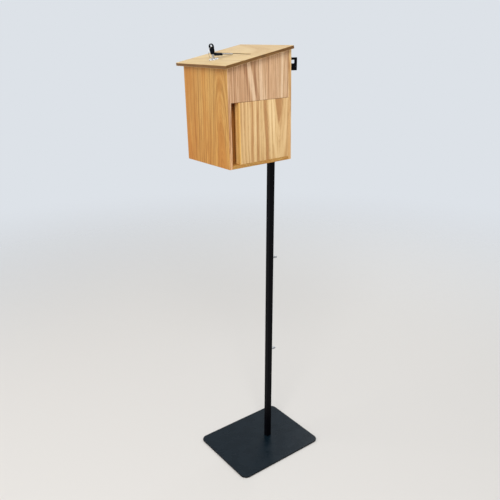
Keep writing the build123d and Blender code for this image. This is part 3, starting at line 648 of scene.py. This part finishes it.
lower_tubes = ("pole_lower", "pole_lower_middle", "pole_upper_middle")
seam_levels = [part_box(name)[1].z for name in lower_tubes]
black_paint = paint("black_paint", srgb(5, 5, 9), 0.42, shine=0.05, seams=seam_levels)
plate_paint = paint("plate_paint", srgb(12, 26, 35), 0.27, shine=0.15, rim=srgb(5, 5, 7))
zinc = metal("zinc_steel", srgb(196, 198, 200), 0.34, wear=0.08)
chrome = metal("chrome", srgb(238, 239, 241), 0.14, wear=0.03, strength=0.02)
key_steel = metal("key_steel", srgb(204, 202, 198), 0.24, brushed=(1.0, 0.2, 1.0))
key_plastic = plastic("key_plastic", srgb(13, 17, 25), 0.42)
rubber = soft("rubber", srgb(38, 38, 40), grain=1800.0, depth=0.2 * MM)
felt = soft("felt", srgb(96, 82, 70), grain=2600.0, depth=0.4 * MM)


# A look for every node: its own, or its material slot's

looks = {
    **wood,
    "pocket_roof": wood["pocket_partition"],
    "base_plate": plate_paint,
    "lock_body": chrome,
    "lock_plug": chrome,
    "key_blade": key_steel,
    "spare_key_blade": key_steel,
    "key_ring": key_steel,
    "key_head": key_plastic,
    "spare_key_head": key_plastic,
    "rear_bumper": rubber,
    "felt_pads": felt,
}
by_slot = {"black_paint": black_paint, "zinc_steel": zinc}
slot_of = {part["node"]: part["material_slot"] for part in frame["record"]["subparts"]}
for name, node in nodes.items():
    material = looks.get(name) or by_slot[slot_of[name]]
    node.data.materials.clear()
    node.data.materials.append(material)


# New objects

def in_scene(name, data):
    thing = bpy.data.objects.new(name, data)
    bpy.context.scene.collection.objects.link(thing)
    return thing


def mesh_of(name, points, faces, material):
    mesh = bpy.data.meshes.new(name)
    mesh.from_pydata(points, [], faces)
    mesh.materials.append(material)
    return mesh


# Welds where the crossbar meets the pole and the hook plates

BEAD_SIDES = 10
FEWEST_STEPS = 8
STEP_LENGTH = 0.22  # in bead radii
BLUNTNESS = 8  # an even power: the higher, the later a bead narrows to its ends
END_RADIUS = 0.02  # in bead radii, so that the ends stay closed without a point
RIPPLE_HEIGHT = 0.1  # in bead radii
RIPPLE_TURN = 0.55  # radians of the ripple's wave from step to step


def bead_rings(start, end, radius):
    """Rings of points along one rippled bead, which is rounded off at both ends."""
    along = (end - start).normalized()
    first = along.orthogonal().normalized()
    second = along.cross(first)
    turns = [2 * math.pi * j / BEAD_SIDES for j in range(BEAD_SIDES)]
    outwards = [first * math.cos(turn) + second * math.sin(turn) for turn in turns]
    steps = max(FEWEST_STEPS, int((end - start).length / (radius * STEP_LENGTH)))
    rings = []
    for i in range(steps + 1):
        part = i / steps
        closing = math.sqrt(max(0.0, 1 - (2 * part - 1) ** BLUNTNESS)) + END_RADIUS
        ripple = 1 + RIPPLE_HEIGHT * abs(math.sin(i * RIPPLE_TURN))
        reach = radius * ripple * closing
        rings.append([start.lerp(end, part) + out * reach for out in outwards])
    return rings


def skin(rings, first_point):
    """Faces from ring to ring, closed at both ends, for rings whose points count on from the first."""
    sides = len(rings[0])
    last_ring = first_point + (len(rings) - 1) * sides
    faces = []
    for row in range(first_point, last_ring, sides):
        for j in range(sides):
            a, b = row + j, row + (j + 1) % sides
            faces.append((a, b, b + sides, a + sides))
    faces.append(tuple(reversed(range(first_point, first_point + sides))))
    faces.append(tuple(range(last_ring, last_ring + sides)))
    return faces


def weld(name, runs, radius):
    """Beads of weld along straight runs, as one piece."""
    points, faces = [], []
    for start, end in runs:
        rings = bead_rings(start, end, radius)
        faces += skin(rings, len(points))
        points += [point for ring in rings for point in ring]
    mesh = mesh_of(name, points, faces, black_paint)
    mesh.polygons.foreach_set("use_smooth", [True] * len(faces))
    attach(in_scene(name, mesh), "stand_and_box")


def run_back(x, front, back, level):
    """A straight run from front to back."""
    return Vector((x, front, level)), Vector((x, back, level))


bead = 1.4 * MM
hook_weld_reach = 8 * MM
bar_low, bar_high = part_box("crossbar")
tube_low, tube_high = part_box("pole_top")
leg_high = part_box("hook_right")[1]
pole_runs = [
    run_back(x, tube_low.y + bead, tube_high.y - bead, bar_low.z)
    for x in (tube_low.x, tube_high.x)
]
hook_runs = [
    run_back(x, leg_high.y - hook_weld_reach, leg_high.y - bead, bar_high.z)
    for x in (bar_low.x, bar_high.x)
]
weld("pole_welds", pole_runs, bead)
weld("hook_welds", hook_runs, bead)


# Floor and world

FLOOR_RADIUS = 4.0
FLOOR_SIDES = 96
FLOOR_FADE = (0.22, 0.95)  # where the floor starts to fade and where it is gone, in floor radii
AMBIENT = 0.5
AMBIENT_IN_MIRRORS = 0.75  # about as bright as the background


def floor_material():
    """A matt floor that fades out into the background towards its rim."""
    g = Material("floor")
    away = g.vector_math("LENGTH", g.place)
    matt = g.add("BsdfPrincipled", {"Base Color": FLOOR, "Roughness": 0.75, "Specular IOR Level": 0.2})
    clear = g.add("BsdfTransparent")
    fade_start, fade_end = (share * FLOOR_RADIUS for share in FLOOR_FADE)
    fade = g.fit(away, fade_start, fade_end, smooth=True)
    return g.close(g.add("MixShader", {0: fade, 1: matt.outputs[0], 2: clear.outputs[0]}))


def stage_floor():
    """A round floor round the object's foot."""
    turns = [2 * math.pi * i / FLOOR_SIDES for i in range(FLOOR_SIDES)]
    rim = [(FLOOR_RADIUS * math.cos(turn), FLOOR_RADIUS * math.sin(turn), 0.0) for turn in turns]
    faces = [(0, i + 1, (i + 1) % FLOOR_SIDES + 1) for i in range(FLOOR_SIDES)]
    mesh = mesh_of("floor", [(0.0, 0.0, 0.0)] + rim, faces, floor_material())
    in_scene("floor", mesh)


def studio_world():
    """Even daylight, brighter in mirrors, while the camera sees the plain background."""
    g = Graph(bpy.data.worlds.new("studio"))
    path = g.add("LightPath")
    more_in_mirrors = AMBIENT_IN_MIRRORS - AMBIENT
    strength = g.math("MULTIPLY_ADD", path.outputs["Is Glossy Ray"], more_in_mirrors, AMBIENT)
    light = g.add("Background", {"Color": DAYLIGHT, "Strength": strength})
    shown = g.add("Background", {"Color": BACKGROUND, "Strength": 1.0})
    seen = path.outputs["Is Camera Ray"]
    pick = g.add("MixShader", {0: seen, 1: light.outputs[0], 2: shown.outputs[0]})
    g.add("OutputWorld", {"Surface": pick.outputs[0]})
    return g.owner


stage_floor()
bpy.context.scene.world = studio_world()


# Lamps

def soft_light(name, place, target, size, power, colour):
    """A square soft box aimed at a point."""
    data = bpy.data.lights.new(name, "AREA")
    data.shape = "SQUARE"
    data.size = size
    data.energy = power
    data.color = colour
    lamp = in_scene(name, data)
    lamp.location = place
    lamp.rotation_mode = "QUATERNION"
    lamp.rotation_quaternion = (Vector(target) - Vector(place)).to_track_quat("-Z", "Y")


soft_light(
    "key_light", place=(2.1, -1.9, 2.9), target=(0, -0.05, 1.0), size=1.8, power=72.0,
    colour=(1.0, 0.98, 0.95),
)
soft_light(
    "fill_light", place=(-1.6, -3.0, 2.2), target=(0, -0.05, 0.9), size=2.2, power=40.0,
    colour=(1.0, 0.97, 0.93),
)
soft_light(
    "back_light", place=(-1.0, 2.6, 2.8), target=(0, 0.0, 0.9), size=2.0, power=40.0,
    colour=(0.95, 0.98, 1.0),
)


# Camera, as solved from the base plate's corners and the pole's edges in the photograph

CAMERA_PLACE = (1.368127, -1.094844, 1.370249)
CAMERA_TILT = math.radians(69.986)
CAMERA_TURN = math.radians(52.471)
LENS = 41.904
SENSOR_WIDTH = 36.0

camera_data = bpy.data.cameras.new("camera")
camera_data.sensor_width = SENSOR_WIDTH
camera_data.lens = LENS
camera = in_scene("camera", camera_data)
camera.location = CAMERA_PLACE
camera.rotation_euler = (CAMERA_TILT, 0.0, CAMERA_TURN)
bpy.context.scene.camera = camera

bpy.context.scene.view_settings.view_transform = "Standard"
